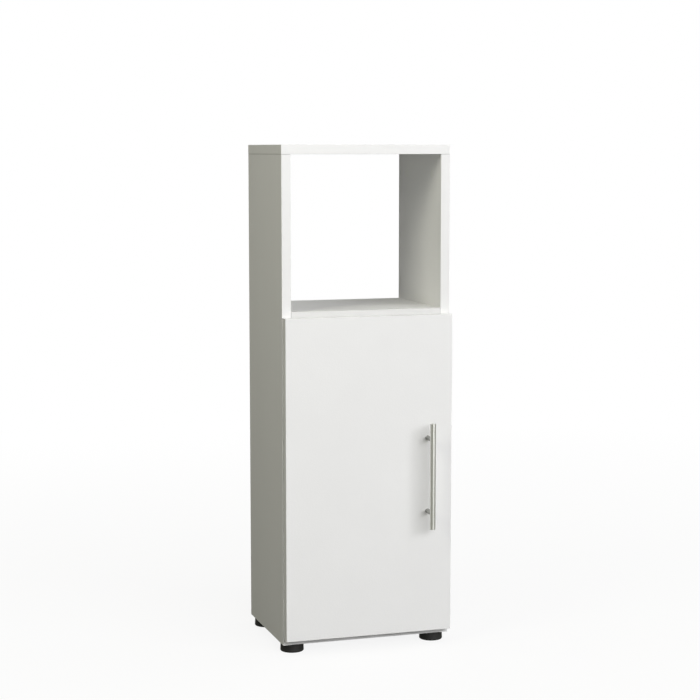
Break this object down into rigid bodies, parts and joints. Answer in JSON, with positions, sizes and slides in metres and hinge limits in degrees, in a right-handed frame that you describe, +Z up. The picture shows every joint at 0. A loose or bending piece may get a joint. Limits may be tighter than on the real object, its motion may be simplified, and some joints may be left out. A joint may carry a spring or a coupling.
{
  "type": "bathroom cabinet",
  "caption": "Narrow free-standing bathroom cabinet of white boards with an open niche above a hinged door, a straight bar handle, an inner shelf and round black feet.",
  "frame": {"origin": "on the floor, under the middle of the whole object, handle included", "axes": "+X to the right seen from the front, +Y to the back, +Z up"},
  "size_m": [0.3, 0.2686, 0.87],
  "materials": {
    "white_melamine_board": "satin white melamine on chipboard",
    "white_edge_band": "satin white edge banding",
    "hardboard": "white-faced hardboard",
    "satin_steel": "satin brushed",
    "nickel_plated_steel": "nickel plated stamping",
    "zinc_plated_screw": "zinc plated",
    "zinc_casting": "raw zinc die casting",
    "beech": "fluted beech",
    "white_plastic": "satin moulded plastic",
    "black_plastic": "satin moulded plastic",
    "clear_buffer": "clear soft plastic"
  },
  "bodies": {
    "carcass": {"back_left_foot": "black_plastic", "back_panel": "hardboard", "back_right_foot": "black_plastic", "bottom_edge_band": "white_edge_band", "bottom_panel": "white_melamine_board", "cam_bolts": "zinc_plated_screw", "cam_caps": "white_plastic", "cam_housings": "zinc_casting", "foot_screws": "zinc_plated_screw", "front_left_foot": "black_plastic", "front_right_foot": "black_plastic", "hinge_adjust_screws": "zinc_plated_screw", "hinge_arm_pins": "nickel_plated_steel", "hinge_plate_screws": "zinc_plated_screw", "inner_shelf": "white_melamine_board", "left_side_panel": "white_melamine_board", "lower_hinge_arm": "nickel_plated_steel", "lower_hinge_plate": "nickel_plated_steel", "niche_floor": "white_melamine_board", "niche_floor_edge_bands": "white_edge_band", "right_side_panel": "white_melamine_board", "shelf_edge_band": "white_edge_band", "shelf_pins": "zinc_plated_screw", "side_edge_bands": "white_edge_band", "top_edge_bands": "white_edge_band", "top_panel": "white_melamine_board", "upper_hinge_arm": "nickel_plated_steel", "upper_hinge_plate": "nickel_plated_steel", "wood_dowels": "beech"},
    "outer_links": {"upper_outer_link": "nickel_plated_steel", "lower_outer_link": "nickel_plated_steel"},
    "inner_links": {"upper_inner_link": "nickel_plated_steel", "lower_inner_link": "nickel_plated_steel"},
    "door": {"door_panel": "white_melamine_board", "door_edge_bands": "white_edge_band", "door_buffers": "clear_buffer", "handle_bar": "satin_steel", "upper_handle_post": "satin_steel", "lower_handle_post": "satin_steel", "handle_screws": "zinc_plated_screw", "upper_hinge_cup": "nickel_plated_steel", "lower_hinge_cup": "nickel_plated_steel", "hinge_cup_screws": "zinc_plated_screw", "hinge_cup_pins": "nickel_plated_steel"}
  },
  "joints": [
    {"name": "outer_link_turn", "type": "hinge", "parent": "carcass", "child": "outer_links", "pos_m": [-0.1103, -0.0807, 0.303], "axis": [0, 0, 1], "range_deg": [0, 28.5]},
    {"name": "inner_link_turn", "type": "hinge", "parent": "carcass", "child": "inner_links", "pos_m": [-0.1255, -0.0943, 0.303], "axis": [0, 0, 1], "range_deg": [0, 46.1]},
    {"name": "door_swing", "type": "hinge", "parent": "outer_links", "child": "door", "pos_m": [-0.1395, -0.0892, 0.303], "axis": [0, 0, -1], "range_deg": [0, 123.5]}
  ],
  "couplings": [
    {"joint": "outer_link_turn", "follows": "door_swing", "ratio": 0.23077},
    {"joint": "inner_link_turn", "follows": "door_swing", "ratio": 0.37308}
  ]
}
